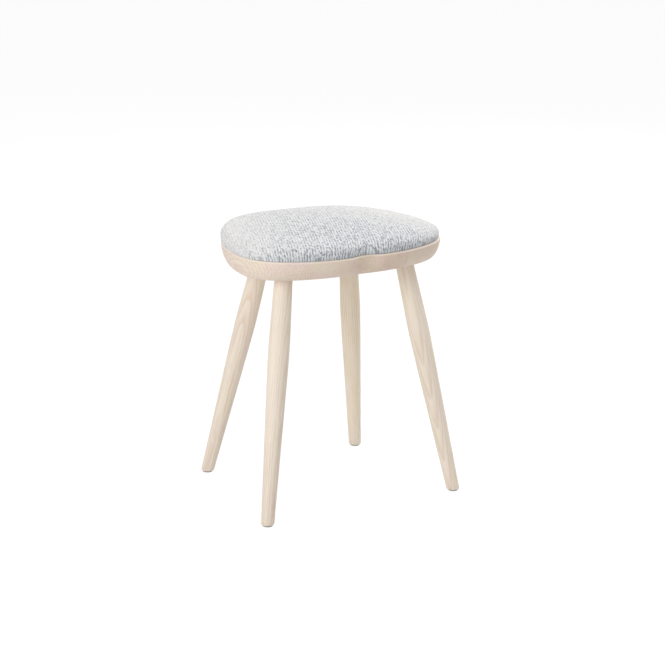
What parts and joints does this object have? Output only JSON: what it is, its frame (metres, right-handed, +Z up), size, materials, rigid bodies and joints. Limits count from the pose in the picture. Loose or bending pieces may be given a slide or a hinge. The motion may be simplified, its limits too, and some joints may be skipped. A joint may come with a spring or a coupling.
{
  "type": "vanity stool",
  "caption": "Backless stool with a cloth-covered pad on a solid wooden seat with a notched front edge and undercut rim, carried by splayed, turned legs.",
  "frame": {"origin": "on the floor, below the middle of the whole stool's bounding box", "axes": "+Z up; -Y out of the notched front edge of the seat; +X across the width, to the right of someone who faces the notch"},
  "size_m": [0.3778, 0.318, 0.467],
  "materials": {
    "wood": "matte",
    "wedge_wood": "matte",
    "plywood": "matte",
    "foam": "matte",
    "wadding": "matte",
    "cloth": "matte",
    "screw_steel": "satin",
    "glide": "matte"
  },
  "bodies": {
    "root": {"seat_base": "wood", "leg_front_left": "wood", "leg_front_right": "wood", "leg_back_left": "wood", "leg_back_right": "wood", "leg_wedge_front_left": "wedge_wood", "leg_wedge_front_right": "wedge_wood", "leg_wedge_back_left": "wedge_wood", "leg_wedge_back_right": "wedge_wood", "foot_glide_front_left": "glide", "foot_glide_front_right": "glide", "foot_glide_back_left": "glide", "foot_glide_back_right": "glide", "pad_board": "plywood", "pad_foam": "foam", "pad_wadding": "wadding", "pad_cover": "cloth", "pad_screw_front_left": "screw_steel", "pad_screw_front_right": "screw_steel", "pad_screw_back_left": "screw_steel", "pad_screw_back_right": "screw_steel"}
  },
  "joints": []
}
